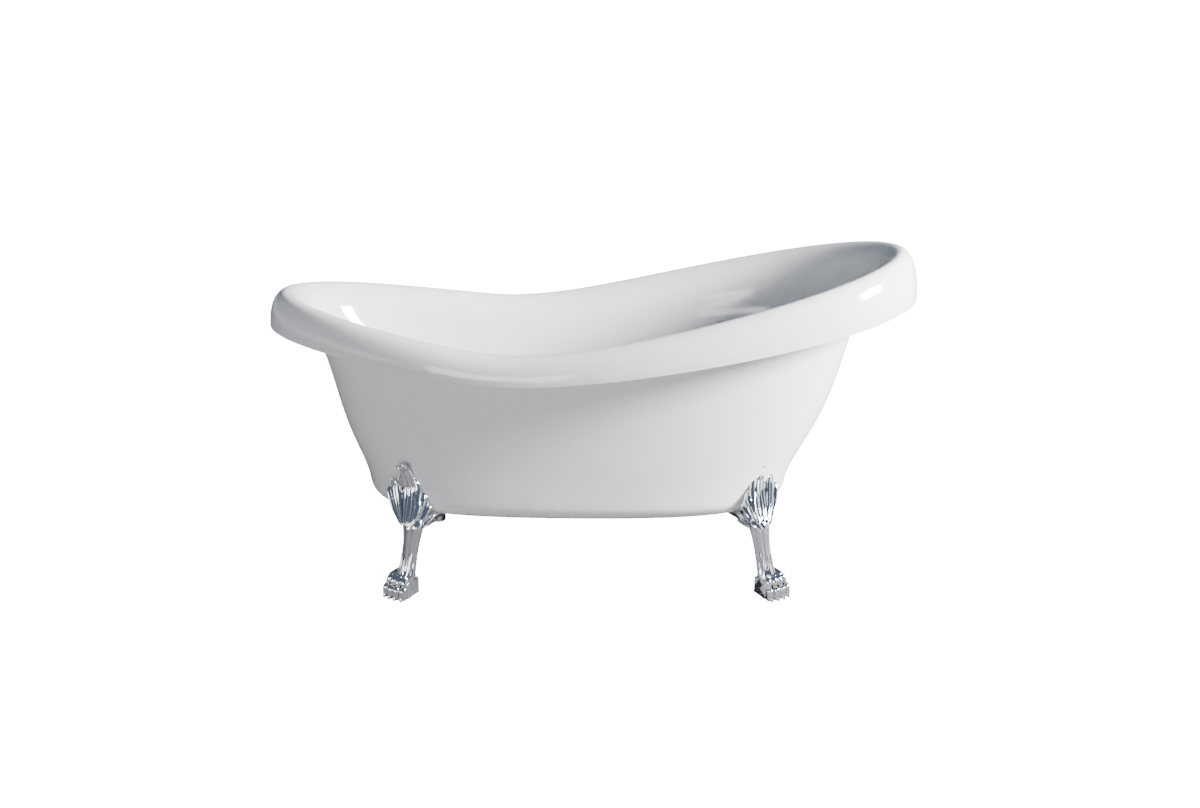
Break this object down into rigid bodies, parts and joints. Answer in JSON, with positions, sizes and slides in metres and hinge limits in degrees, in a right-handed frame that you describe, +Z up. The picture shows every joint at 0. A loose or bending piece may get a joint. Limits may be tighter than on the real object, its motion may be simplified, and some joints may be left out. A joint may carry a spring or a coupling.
{
  "type": "clawfoot bathtub",
  "caption": "Single-slipper bathtub: double-walled acrylic tub with a rolled rim, cast claw feet, levelling screws, overflow and lift-up waste.",
  "frame": {"origin": "on the floor, under the middle of the rim's outline", "axes": "+X from the low drain end to the high head end, +Z up, +Y to the back"},
  "size_m": [1.5499, 0.7368, 0.8],
  "materials": {
    "acrylic_basin": "high-gloss white acrylic",
    "acrylic_skin": "high-gloss white acrylic",
    "bonding_bead": "white resin bead",
    "base_board": "sealed board",
    "foot_chrome": "polished chrome on a casting",
    "drain_chrome": "polished chrome",
    "drain_brass": "plain brass",
    "zinc_steel": "zinc-plated steel",
    "rubber_seal": "matte black rubber",
    "duct_plastic": "moulded plastic",
    "pad_nylon": "black nylon"
  },
  "bodies": {
    "tub": {"inner_shell": "acrylic_basin", "outer_skin": "acrylic_skin", "rim_bead": "bonding_bead", "base_board": "base_board", "foot_studs": "zinc_steel", "foot_washers": "zinc_steel", "foot_nuts": "zinc_steel", "drain_flange": "drain_chrome", "drain_gasket": "rubber_seal", "drain_body": "drain_brass", "drain_slip_nut": "drain_brass", "drain_tailpiece": "drain_chrome", "overflow_cover": "drain_chrome", "overflow_gasket": "rubber_seal", "overflow_screws": "drain_chrome", "overflow_socket": "duct_plastic", "overflow_duct": "duct_plastic", "claw_foot_front_low": "foot_chrome", "claw_foot_front_high": "foot_chrome", "claw_foot_back_low": "foot_chrome", "claw_foot_back_high": "foot_chrome", "foot_plate_front_low": "zinc_steel", "foot_plate_front_high": "zinc_steel", "foot_plate_back_low": "zinc_steel", "foot_plate_back_high": "zinc_steel"},
    "stopper": {"stopper_cap": "drain_chrome", "stopper_seal": "rubber_seal", "stopper_post": "drain_brass"},
    "leveller_pad_front_low": {"leveller_pad_front_low": "pad_nylon"},
    "leveller_screw_front_low": {"leveller_screw_front_low": "zinc_steel"},
    "leveller_pad_front_high": {"leveller_pad_front_high": "pad_nylon"},
    "leveller_screw_front_high": {"leveller_screw_front_high": "zinc_steel"},
    "leveller_pad_back_low": {"leveller_pad_back_low": "pad_nylon"},
    "leveller_screw_back_low": {"leveller_screw_back_low": "zinc_steel"},
    "leveller_pad_back_high": {"leveller_pad_back_high": "pad_nylon"},
    "leveller_screw_back_high": {"leveller_screw_back_high": "zinc_steel"}
  },
  "joints": [
    {"name": "stopper_lift", "type": "slide", "parent": "tub", "child": "stopper", "axis": [0, 0, 1], "range_m": [0, 0.01]},
    {"name": "leveller_drop_front_low", "type": "slide", "parent": "tub", "child": "leveller_pad_front_low", "axis": [0, 0, -1], "range_m": [0, 0.01]},
    {"name": "leveller_turn_front_low", "type": "hinge", "parent": "leveller_pad_front_low", "child": "leveller_screw_front_low", "pos_m": [-0.4465, -0.25, 0.02], "axis": [0, 0, -1], "range_deg": [0, 2400]},
    {"name": "leveller_drop_front_high", "type": "slide", "parent": "tub", "child": "leveller_pad_front_high", "axis": [0, 0, -1], "range_m": [0, 0.01]},
    {"name": "leveller_turn_front_high", "type": "hinge", "parent": "leveller_pad_front_high", "child": "leveller_screw_front_high", "pos_m": [0.4235, -0.25, 0.02], "axis": [0, 0, -1], "range_deg": [0, 2400]},
    {"name": "leveller_drop_back_low", "type": "slide", "parent": "tub", "child": "leveller_pad_back_low", "axis": [0, 0, -1], "range_m": [0, 0.01]},
    {"name": "leveller_turn_back_low", "type": "hinge", "parent": "leveller_pad_back_low", "child": "leveller_screw_back_low", "pos_m": [-0.4465, 0.25, 0.02], "axis": [0, 0, -1], "range_deg": [0, 2400]},
    {"name": "leveller_drop_back_high", "type": "slide", "parent": "tub", "child": "leveller_pad_back_high", "axis": [0, 0, -1], "range_m": [0, 0.01]},
    {"name": "leveller_turn_back_high", "type": "hinge", "parent": "leveller_pad_back_high", "child": "leveller_screw_back_high", "pos_m": [0.4235, 0.25, 0.02], "axis": [0, 0, -1], "range_deg": [0, 2400]}
  ],
  "couplings": [
    {"joint": "leveller_turn_front_low", "follows": "leveller_drop_front_low", "rad_per_m": 4188.8},
    {"joint": "leveller_turn_front_high", "follows": "leveller_drop_front_high", "rad_per_m": 4188.8},
    {"joint": "leveller_turn_back_low", "follows": "leveller_drop_back_low", "rad_per_m": 4188.8},
    {"joint": "leveller_turn_back_high", "follows": "leveller_drop_back_high", "rad_per_m": 4188.8}
  ]
}
